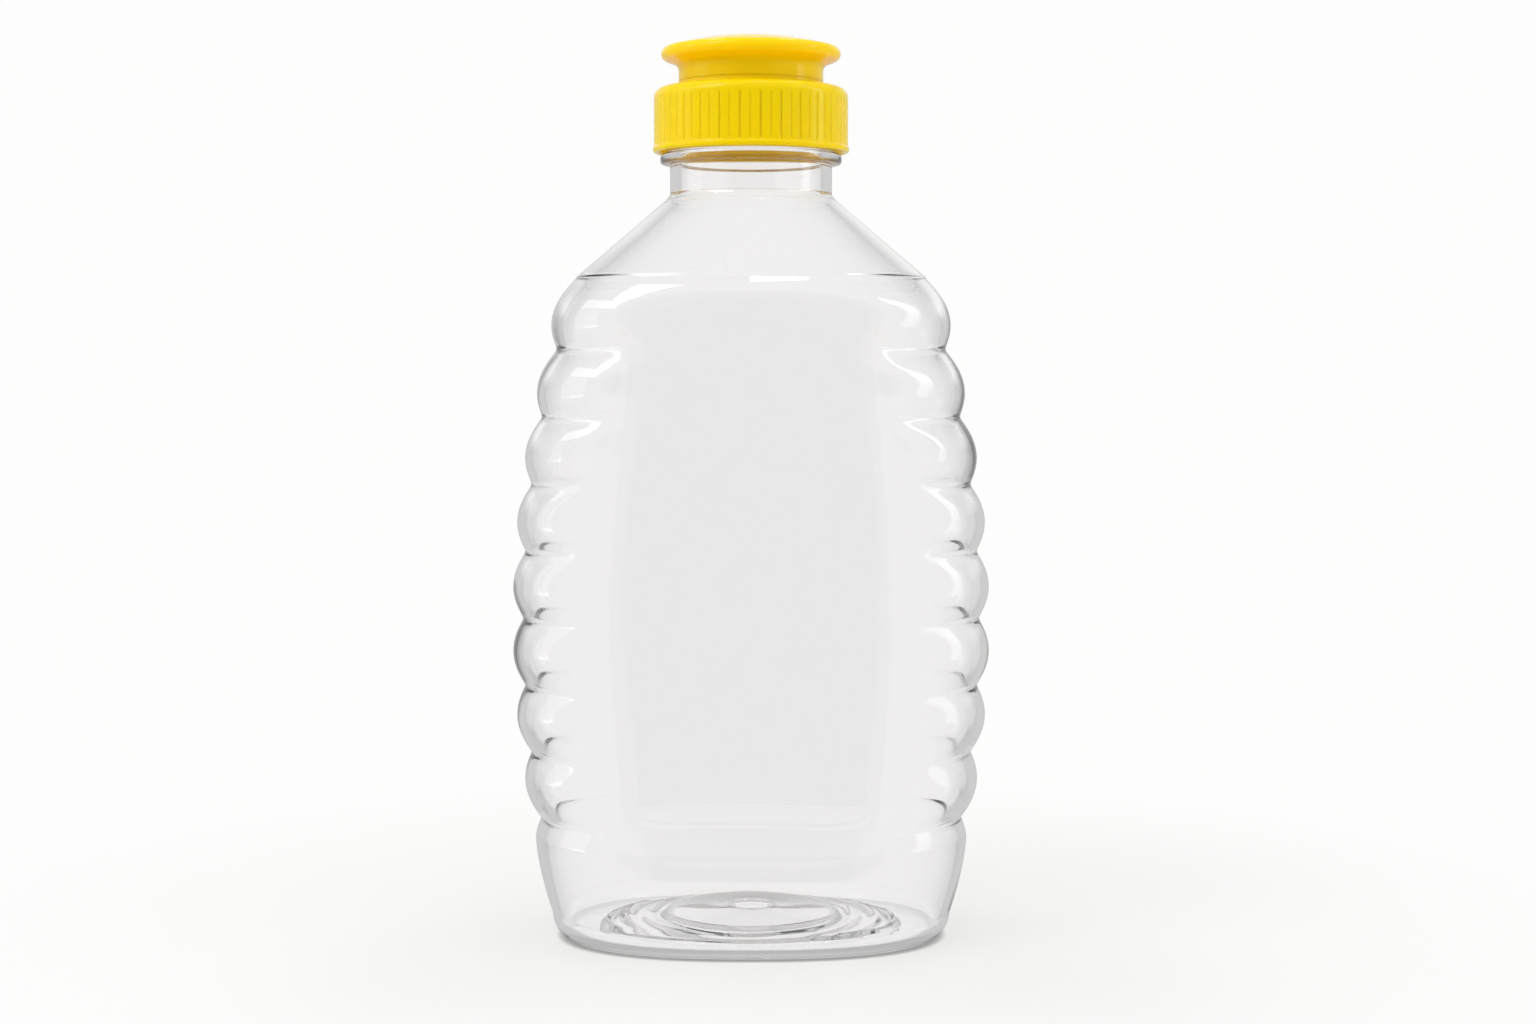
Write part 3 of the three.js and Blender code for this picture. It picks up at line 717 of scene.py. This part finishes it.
FOAM_ROUGHNESS = (0.8, 0.95)
MASK_RANGE = (0.3, 0.7)


def new_material(name):
    """A material with no nodes yet, its nodes and its links."""
    material = bpy.data.materials.new(name)
    material.use_nodes = True
    nodes = material.node_tree.nodes
    nodes.clear()
    return material, nodes, material.node_tree.links


def set_sockets(node, **values):
    """Plain values for a node's inputs, with _ for each space in their names."""
    for name, value in values.items():
        node.inputs[name.replace("_", " ")].default_value = value
    return node


def add_node(nodes, kind, **values):
    """A new node with some of its inputs set."""
    return set_sockets(nodes.new(kind), **values)


def place_group(nodes, group, **values):
    """A node group in a material, with its own values."""
    node = nodes.new("ShaderNodeGroup")
    node.node_tree = group
    return set_sockets(node, **values)


def feed(links, value, socket):
    """Links a socket to another node's output, or gives it a plain value."""
    if isinstance(value, bpy.types.NodeSocket):
        links.new(value, socket)
    else:
        socket.default_value = value


def combine(nodes, links, operation, first, second=None):
    """One or two numbers through a Math node."""
    node = nodes.new("ShaderNodeMath")
    node.operation = operation
    feed(links, first, node.inputs[0])
    if second is not None:
        feed(links, second, node.inputs[1])
    return node.outputs[0]


def combine_vectors(nodes, links, operation, first, second=None):
    """One or two vectors through a Vector Math node."""
    node = nodes.new("ShaderNodeVectorMath")
    node.operation = operation
    feed(links, first, node.inputs[0])
    if second is not None:
        feed(links, second, node.inputs[1])
    return node


def blended(nodes, links, share, first, second, colours=False):
    """A share of the way from one number or colour to another."""
    node = nodes.new("ShaderNodeMix")
    if colours:
        node.data_type = "RGBA"
    feed(links, share, node.inputs["Factor"])
    feed(links, first, node.inputs["A"])
    feed(links, second, node.inputs["B"])
    return node.outputs["Result"]


def map_range(nodes, links, value, before, after, kind="SMOOTHSTEP"):
    """Takes a value from one pair of limits to another."""
    node = nodes.new("ShaderNodeMapRange")
    node.interpolation_type = kind
    for name, limit in zip(("From Min", "From Max", "To Min", "To Max"), (*before, *after)):
        node.inputs[name].default_value = limit
    links.new(value, node.inputs["Value"])
    return node.outputs["Result"]


def choose_shader(nodes, links, share, otherwise, then):
    """One shader where share is 1 and the other where it is 0."""
    node = nodes.new("ShaderNodeMixShader")
    links.new(share, node.inputs[0])
    links.new(otherwise, node.inputs[1])
    links.new(then, node.inputs[2])
    return node.outputs[0]


def show(nodes, links, shader, kind="ShaderNodeOutputMaterial"):
    """Sends a shader to the output of a material, a lamp or the world."""
    out = nodes.new(kind)
    links.new(shader, out.inputs["Surface"])


def surface_group():
    """Slow ripple and fine grain of a moulded or blown surface: a bump height and a 0 to 1 mask."""
    group = bpy.data.node_groups.new("moulded surface", "ShaderNodeTree")
    face = group.interface
    for name, value in (("Ripple Scale", 60.0), ("Grain Scale", 900.0), ("Grain Share", 0.2)):
        face.new_socket(name, in_out="INPUT", socket_type="NodeSocketFloat").default_value = value
    face.new_socket("Height", in_out="OUTPUT", socket_type="NodeSocketFloat")
    face.new_socket("Mask", in_out="OUTPUT", socket_type="NodeSocketFloat")
    nodes, links = group.nodes, group.links
    taken, given = nodes.new("NodeGroupInput"), nodes.new("NodeGroupOutput")
    place = nodes.new("ShaderNodeTexCoord")
    ripple = add_node(nodes, "ShaderNodeTexNoise", Detail=2.0, Roughness=0.45)
    grain = add_node(nodes, "ShaderNodeTexNoise", Detail=3.0, Roughness=0.6)
    links.new(place.outputs["Object"], ripple.inputs["Vector"])
    links.new(place.outputs["Object"], grain.inputs["Vector"])
    links.new(taken.outputs["Ripple Scale"], ripple.inputs["Scale"])
    links.new(taken.outputs["Grain Scale"], grain.inputs["Scale"])
    height = blended(nodes, links, taken.outputs["Grain Share"], ripple.outputs["Fac"], grain.outputs["Fac"])
    links.new(height, given.inputs["Height"])
    links.new(grain.outputs["Fac"], given.inputs["Mask"])
    return group


def bumped(nodes, links, source, shader, distance, strength):
    """Lets the moulded surface's height bend the light on a shader."""
    bump = add_node(nodes, "ShaderNodeBump", Strength=strength, Distance=distance)
    links.new(source.outputs["Height"], bump.inputs["Height"])
    links.new(bump.outputs["Normal"], shader.inputs["Normal"])


def uneven_gloss(nodes, links, source, shader, roughness):
    """Lets the moulded surface's mask move the roughness between two limits."""
    value = map_range(nodes, links, source.outputs["Mask"], MASK_RANGE, roughness, "LINEAR")
    links.new(value, shader.inputs["Roughness"])


def clear_plastic(group):
    """Clear walls, with painted shade making them greyer where they are seen edge on. Shadows and soft light
    pass straight through them.
    """
    material, nodes, links = new_material("clear plastic")
    shader = add_node(nodes, "ShaderNodeBsdfPrincipled", IOR=CLEAR_IOR, Transmission_Weight=1.0)
    # Painted shade: Layer Weight greys the base colour where the wall is seen edge on, for dark outlines
    turned = add_node(nodes, "ShaderNodeLayerWeight", Blend=0.5)
    edge = map_range(nodes, links, turned.outputs["Facing"], CLEAR_EDGE_SHADE_TURN, (0, 1))
    colour = blended(nodes, links, edge, CLEAR_TINT, CLEAR_PAINTED_EDGE_SHADE, colours=True)
    links.new(colour, shader.inputs["Base Color"])
    source = place_group(nodes, group, Ripple_Scale=45.0, Grain_Scale=1200.0, Grain_Share=0.02)
    bumped(nodes, links, source, shader, distance=0.0004, strength=0.1)
    uneven_gloss(nodes, links, source, shader, CLEAR_ROUGHNESS)
    clear = add_node(nodes, "ShaderNodeBsdfTransparent", Color=CLEAR_SHADOW)
    path = nodes.new("ShaderNodeLightPath")
    plain = combine(nodes, links, "MAXIMUM", path.outputs["Is Shadow Ray"], path.outputs["Is Diffuse Ray"])
    show(nodes, links, choose_shader(nodes, links, plain, shader.outputs["BSDF"], clear.outputs["BSDF"]))
    return material


def yellow_plastic(group):
    """Bright moulded plastic that lets a little light in."""
    material, nodes, links = new_material("yellow plastic")
    shader = add_node(nodes, "ShaderNodeBsdfPrincipled", IOR=YELLOW_IOR, Specular_IOR_Level=YELLOW_SPECULAR,
                      Subsurface_Weight=YELLOW_SCATTER, Subsurface_Radius=YELLOW_SCATTER_RADIUS,
                      Subsurface_Scale=YELLOW_SCATTER_SCALE)
    source = place_group(nodes, group, Ripple_Scale=120.0, Grain_Scale=2500.0, Grain_Share=0.3)
    colour = blended(nodes, links, source.outputs["Mask"], YELLOW_DEEP, YELLOW_PALE, colours=True)
    links.new(colour, shader.inputs["Base Color"])
    uneven_gloss(nodes, links, source, shader, YELLOW_ROUGHNESS)
    bumped(nodes, links, source, shader, distance=0.0001, strength=0.12)
    show(nodes, links, shader.outputs["BSDF"])
    return material


def liner_foam(group):
    """Off-white closed-cell foam, matt and finely pitted."""
    material, nodes, links = new_material("liner foam")
    shader = add_node(nodes, "ShaderNodeBsdfPrincipled", IOR=FOAM_IOR, Base_Color=FOAM_COLOUR)
    source = place_group(nodes, group, Ripple_Scale=800.0, Grain_Scale=4000.0, Grain_Share=0.6)
    uneven_gloss(nodes, links, source, shader, FOAM_ROUGHNESS)
    bumped(nodes, links, source, shader, distance=0.0002, strength=0.6)
    show(nodes, links, shader.outputs["BSDF"])
    return material


# Studio, with its places, sizes and reaches in metres, and the camera's place in millimetres

FOCAL = 2550.0
FRAME_WIDTH = 1536.0
SENSOR = 36.0
CAMERA_PLACE = (3.5, -529.5, 118.4)
CAMERA_TILT = 3.30
NEAR_CLIP = 0.01

STUDIO_MIDDLE = 0.1
FLOOR_SIZE = 12
STUDIO_WHITE = (1, 1, 0.995, 1)
BACKDROP_LIGHT = 0.985
WORLD_LIGHT = 0.8
CEILING_LIGHT = 0.1
CEILING_RISE = (0.7, 0.85)
CEILING_DEPTH = 3.5  # clear faces that light crosses before the ceiling adds to it

FRONT_EDGE = (-0.83, -0.76)
BACK_EDGE = (0.3, 0.8)
BACKDROP_RISE = (0.05, 0.25)
OVERHEAD_RISE = (0.22, 0.5)

FLOOR_COLOUR = (0.79, 0.79, 0.785, 1)
FLOOR_PAINTED_SHADOW = (0.1, 0.1, 0.1, 1)
NEAR_FLOOR = (0.08, 0.16)
NEAR_FLOOR_LIGHT = 0.6
SHADOW_REACH = (0.045, 0.22)
SHADOW_SHARE = (0.1, 1)
BENT_SHADOW_REACH = (0.04, 0.16)
BENT_SHADOW_SHARE = (0.85, 1)
# Painted contact shadow on the floor, from an ambient-occlusion node
CONTACT_REACH = 0.0018
CONTACT_OPEN = (0.1, 0.95)
CONTACT_SHARE = (0.35, 1)
CONTACT_EDGE = (1.02, 1.06)
BENT_CONTACT = 0.8

WATTS = 4  # a square metre of lamp for each unit of its radiance
STRIP_EDGE = (0.09, 0.25)
RIGHT_STRIP = (
    (0, 0.46), (0.1, 0.52), (0.245, 0.62), (0.395, 0.71), (0.56, 0.7), (0.69, 0.58), (0.826, 0.38), (1, 0.08),
)
RIGHT_LEVELS = ((0, 0.35), (0.15, 0.35), (0.35, 0.55), (0.5, 0.9), (0.8, 1), (1, 0.8))


def make_camera():
    """The photo's viewpoint, with its focal length taken from one in pixels of the frame."""
    data = bpy.data.cameras.new("camera")
    data.sensor_width = SENSOR
    data.lens = FOCAL / FRAME_WIDTH * SENSOR
    data.clip_start = NEAR_CLIP
    camera = bpy.data.objects.new("camera", data)
    camera.location = [value * MM for value in CAMERA_PLACE]
    camera.rotation_euler = (math.radians(90 - CAMERA_TILT), 0, 0)
    bpy.context.scene.collection.objects.link(camera)
    bpy.context.scene.camera = camera


def lamp_axes(bearing, tilt):
    """Directions to the right of a lamp, up it and back from it, each one long."""
    turn, lean = math.radians(bearing), math.radians(tilt)
    right = Vector((math.cos(turn), math.sin(turn), 0))
    back = Vector((math.cos(lean) * math.sin(turn), -math.cos(lean) * math.cos(turn), math.sin(lean)))
    return right, back.cross(right), back


def lamp_shine(data, place, right, up, size, across, levels, bow):
    """Gives a lamp its share of light at each spot, and hides it from light that only the clear wall bent."""
    data.use_nodes = True
    nodes, links = data.node_tree.nodes, data.node_tree.links
    nodes.clear()
    spot = nodes.new("ShaderNodeNewGeometry").outputs["Position"]

    def along(axis, length):
        middle = Vector(place).dot(axis)
        reach = combine_vectors(nodes, links, "DOT_PRODUCT", spot, axis).outputs["Value"]
        return map_range(nodes, links, reach, (middle - length / 2, middle + length / 2), (0, 1), "LINEAR")

    def by_height(steps):
        ramp = nodes.new("ShaderNodeValToRGB")
        stops = ramp.color_ramp.elements
        while len(stops) < len(steps):
            stops.new(1.0)
        for stop, (share, level) in zip(stops, steps):
            stop.position = share
            stop.color = (level, level, level, 1)
        links.new(along(up, size[1]), ramp.inputs["Fac"])
        return ramp.outputs["Color"]

    sideways = map_range(nodes, links, along(right, size[0]), (0, 1), across)
    if bow:
        off = combine(nodes, links, "SUBTRACT", along(right, size[0]), by_height(bow))
        off = combine(nodes, links, "ABSOLUTE", off)
        narrow = map_range(nodes, links, off, STRIP_EDGE, (1, 0))
        sideways = combine(nodes, links, "MULTIPLY", sideways, narrow)
    path = nodes.new("ShaderNodeLightPath")
    unmirrored = combine(nodes, links, "LESS_THAN", path.outputs["Glossy Depth"], 0.5)
    hidden = combine(nodes, links, "MULTIPLY", unmirrored, path.outputs["Is Transmission Ray"])
    shown = combine(nodes, links, "SUBTRACT", 1.0, hidden)
    strength = combine(nodes, links, "MULTIPLY", sideways, by_height(levels))
    shine = nodes.new("ShaderNodeEmission")
    links.new(combine(nodes, links, "MULTIPLY", strength, shown), shine.inputs["Strength"])
    show(nodes, links, shine.outputs["Emission"], "ShaderNodeOutputLight")


def make_lamp(name, place, bearing, tilt, size, radiance, across=(1, 1), levels=((0, 1), (1, 1)),
              through=False, bow=None, lights=True):
    """A light panel at a place in metres. It faces back along its bearing, from the front and to the right,
    and leans down by its tilt, both in degrees. across gives the share of its radiance at its left and right
    edges, seen from behind it, and levels the share at each part of its height. Only a lamp with through is
    mirrored by faces that lie behind the front wall. bow narrows it to a strip whose middle is at a share of
    its width for each share of its height. A lamp with lights off is only mirrored."""
    right, up, back = lamp_axes(bearing, tilt)
    data = bpy.data.lights.new(name, "AREA")
    data.shape = "RECTANGLE"
    data.size, data.size_y = size
    data.energy = radiance * WATTS * size[0] * size[1]
    lamp_shine(data, place, right, up, size, across, levels, bow)
    lamp = bpy.data.objects.new(name, data)
    bpy.context.scene.collection.objects.link(lamp)
    lamp.matrix_world = Matrix((right, up, back)).transposed().to_4x4()
    lamp.location = place
    lamp.visible_camera = False
    lamp.visible_transmission = through
    lamp.visible_diffuse = lights


def surround_group():
    """Brightness that the studio shows in mirrored light: palest behind the object, plainer at its sides and
    overhead, and dim round the camera."""
    group = bpy.data.node_groups.new("studio surround", "ShaderNodeTree")
    face = group.interface
    face.new_socket("Direction", in_out="INPUT", socket_type="NodeSocketVector")
    levels = {"Front": 0.2, "Side": 0.52, "Behind": 0.62, "Backdrop": 0.95, "Overhead": 0.62}
    for name, value in levels.items():
        face.new_socket(name, in_out="INPUT", socket_type="NodeSocketFloat").default_value = value
    face.new_socket("Brightness", in_out="OUTPUT", socket_type="NodeSocketFloat")
    nodes, links = group.nodes, group.links
    taken, given = nodes.new("NodeGroupInput").outputs, nodes.new("NodeGroupOutput")
    split = nodes.new("ShaderNodeSeparateXYZ")
    links.new(taken["Direction"], split.inputs[0])
    azimuth = combine(nodes, links, "ARCTAN2", split.outputs["Y"], split.outputs["X"])
    backward = combine(nodes, links, "SINE", azimuth)
    beside = map_range(nodes, links, backward, FRONT_EDGE, (0, 1))
    behind = map_range(nodes, links, backward, BACK_EDGE, (0, 1))
    raised = map_range(nodes, links, split.outputs["Z"], BACKDROP_RISE, (0, 1))
    high = map_range(nodes, links, split.outputs["Z"], OVERHEAD_RISE, (0, 1))
    level = blended(nodes, links, beside, taken["Front"], taken["Side"])
    backdrop = blended(nodes, links, raised, taken["Behind"], taken["Backdrop"])
    level = blended(nodes, links, behind, level, backdrop)
    links.new(blended(nodes, links, high, level, taken["Overhead"]), given.inputs["Brightness"])
    return group


def mirrored_share(nodes, links, path):
    """One for light that a glossy face has mirrored on its way, so that it shows the dimmer surround."""
    once = combine(nodes, links, "GREATER_THAN", path.outputs["Glossy Depth"], 0.5)
    spread = combine(nodes, links, "SUBTRACT", 1.0, path.outputs["Is Diffuse Ray"])
    return combine(nodes, links, "MULTIPLY", once, spread)


def floor_contact(nodes, links, place, path):
    """Share of its light that the floor keeps, as a painted contact shadow from ambient occlusion: least
    along the line where the heel meets it.
    """
    shade = add_node(nodes, "ShaderNodeAmbientOcclusion", Distance=CONTACT_REACH)
    split = nodes.new("ShaderNodeSeparateXYZ")
    links.new(place, split.inputs[0])
    oval = []
    for axis, size in (("X", FOOT_WIDTH), ("Y", FOOT_DEPTH)):
        share = combine(nodes, links, "DIVIDE", split.outputs[axis], (size / 2 - HEEL_RADIUS) * MM)
        oval.append(combine(nodes, links, "POWER", combine(nodes, links, "ABSOLUTE", share), BODY_POWER))
    reach = combine(nodes, links, "POWER", combine(nodes, links, "ADD", *oval), 1 / BODY_POWER)
    under = map_range(nodes, links, reach, CONTACT_EDGE, (1, 0))
    painted_contact_shade = map_range(nodes, links, shade.outputs["AO"], CONTACT_OPEN, CONTACT_SHARE)
    painted_contact_shade = combine(nodes, links, "MAXIMUM", painted_contact_shade, under)
    bent = combine(nodes, links, "MULTIPLY", path.outputs["Is Transmission Ray"], BENT_CONTACT)
    return combine(nodes, links, "MAXIMUM", painted_contact_shade, bent)


def floor_glow(nodes, links, place, surround, away, mirrored):
    """White to the camera. Mirrored light shows the surround there, and a plain grey close to the object."""
    centred = combine_vectors(nodes, links, "SUBTRACT", place, (0, 0, STUDIO_MIDDLE)).outputs[0]
    unit = combine_vectors(nodes, links, "NORMALIZE", centred).outputs[0]
    around = place_group(nodes, surround)
    links.new(unit, around.inputs["Direction"])
    beyond = map_range(nodes, links, away, NEAR_FLOOR, (0, 1))
    dimmer = blended(nodes, links, beyond, NEAR_FLOOR_LIGHT, around.outputs["Brightness"])
    return blended(nodes, links, mirrored, BACKDROP_LIGHT, dimmer)


def make_floor(surround):
    """A pale floor that takes the object's soft shadow, with a painted contact shadow along the heel, and
    fades to the white of the backdrop.
    """
    bpy.ops.mesh.primitive_plane_add(size=FLOOR_SIZE, location=(0, 0, 0))
    floor = bpy.context.object
    floor.name = "studio_floor"
    material, nodes, links = new_material("studio floor")
    place = nodes.new("ShaderNodeNewGeometry").outputs["Position"]
    away = combine_vectors(nodes, links, "LENGTH", place).outputs["Value"]
    path = nodes.new("ShaderNodeLightPath")
    mirrored = mirrored_share(nodes, links, path)
    painted_contact_shade = floor_contact(nodes, links, place, path)
    glow = floor_glow(nodes, links, place, surround, away, mirrored)
    # Painted contact shadow: the glow and the matt colour darken where the heel nearly meets the floor
    shine = add_node(nodes, "ShaderNodeEmission", Color=STUDIO_WHITE)
    links.new(combine(nodes, links, "MULTIPLY", glow, painted_contact_shade), shine.inputs["Strength"])
    matt = nodes.new("ShaderNodeBsdfDiffuse")
    links.new(blended(nodes, links, painted_contact_shade, FLOOR_PAINTED_SHADOW, FLOOR_COLOUR, colours=True), matt.inputs["Color"])
    plain = map_range(nodes, links, away, SHADOW_REACH, SHADOW_SHARE)
    bent = map_range(nodes, links, away, BENT_SHADOW_REACH, BENT_SHADOW_SHARE)
    plain = combine(nodes, links, "MULTIPLY", plain, path.outputs["Is Camera Ray"])
    bent = combine(nodes, links, "MULTIPLY", bent, path.outputs["Is Transmission Ray"])
    share = combine(nodes, links, "MAXIMUM", plain, bent)
    share = combine(nodes, links, "MAXIMUM", share, mirrored)
    show(nodes, links, choose_shader(nodes, links, share, matt.outputs["BSDF"], shine.outputs["Emission"]))
    floor.data.materials.append(material)


def make_world(surround):
    """White where the camera looks and where the clear wall bends its view; what is mirrored is dimmer."""
    world = bpy.data.worlds.new("studio")
    bpy.context.scene.world = world
    world.use_nodes = True
    nodes, links = world.node_tree.nodes, world.node_tree.links
    nodes.clear()
    place = nodes.new("ShaderNodeTexCoord").outputs["Generated"]
    path = nodes.new("ShaderNodeLightPath")
    around = place_group(nodes, surround)
    links.new(place, around.inputs["Direction"])

    def background(strength):
        node = add_node(nodes, "ShaderNodeBackground", Color=STUDIO_WHITE)
        feed(links, strength, node.inputs["Strength"])
        return node.outputs[0]

    split = nodes.new("ShaderNodeSeparateXYZ")
    links.new(place, split.inputs[0])
    ceiling = map_range(nodes, links, split.outputs["Z"], CEILING_RISE, (0, CEILING_LIGHT))
    deep = combine(nodes, links, "GREATER_THAN", path.outputs["Transmission Depth"], CEILING_DEPTH)
    ceiling = combine(nodes, links, "MULTIPLY", ceiling, deep)
    mirrored = background(combine(nodes, links, "ADD", around.outputs["Brightness"], ceiling))
    plain, bent, seen = background(WORLD_LIGHT), background(BACKDROP_LIGHT), background(BACKDROP_LIGHT)
    shown = choose_shader(nodes, links, path.outputs["Is Transmission Ray"], plain, bent)
    shown = choose_shader(nodes, links, mirrored_share(nodes, links, path), shown, mirrored)
    shown = choose_shader(nodes, links, path.outputs["Is Camera Ray"], shown, seen)
    show(nodes, links, shown, "ShaderNodeOutputWorld")


def make_lamps():
    """A key panel and weaker panels at the left, a bowed strip at the right, and three panels overhead."""
    make_lamp("key panel", place=(-0.360, -0.262, 0.567), bearing=-55.5, tilt=46.5, size=(0.276, 0.372),
              radiance=3.8, across=(0.7, 1.0))
    make_lamp("left fill", place=(-0.499, -0.035, 0.160), bearing=-86, tilt=0, size=(0.249, 0.300),
              radiance=0.65, across=(0.8, 1), lights=False)
    make_lamp("left low panel", place=(-0.492, -0.087, 0.022), bearing=-80, tilt=0, size=(0.16, 0.040),
              radiance=1.5, across=(0.5, 1), lights=False)
    make_lamp("right strip", place=(0.525, -0.126, 0.3015), bearing=78, tilt=0, size=(0.44, 0.597),
              radiance=3.6, across=(1.0, 0.7), levels=RIGHT_LEVELS, bow=RIGHT_STRIP)
    make_lamp("left high panel", place=(-0.439, -0.118, 0.372), bearing=-75, tilt=33, size=(0.42, 0.120),
              radiance=2.6, across=(0.6, 1), lights=False)
    make_lamp("front top panel", place=(0.065, -0.100, 0.85), bearing=0, tilt=90, size=(0.14, 0.14),
              radiance=3.0)
    for side in (-1, 1):
        make_lamp("back top panel", place=(side * 0.25, 0.22, 0.85), bearing=0, tilt=90, size=(0.14, 0.24),
                  radiance=4.5, through=True)


def make_studio():
    """Camera, surroundings and lamps, and as many bounces as a double clear wall needs."""
    make_camera()
    surround = surround_group()
    make_world(surround)
    make_floor(surround)
    make_lamps()
    scene = bpy.context.scene
    scene.cycles.max_bounces = 24
    scene.cycles.glossy_bounces = 16
    scene.cycles.transmission_bounces = 24
    scene.view_settings.view_transform = "Standard"


moulded = surface_group()
make_bottle(clear_plastic(moulded))
yellow = yellow_plastic(moulded)
make_cap(yellow)
make_spout(yellow)
make_liner(liner_foam(moulded))
make_studio()
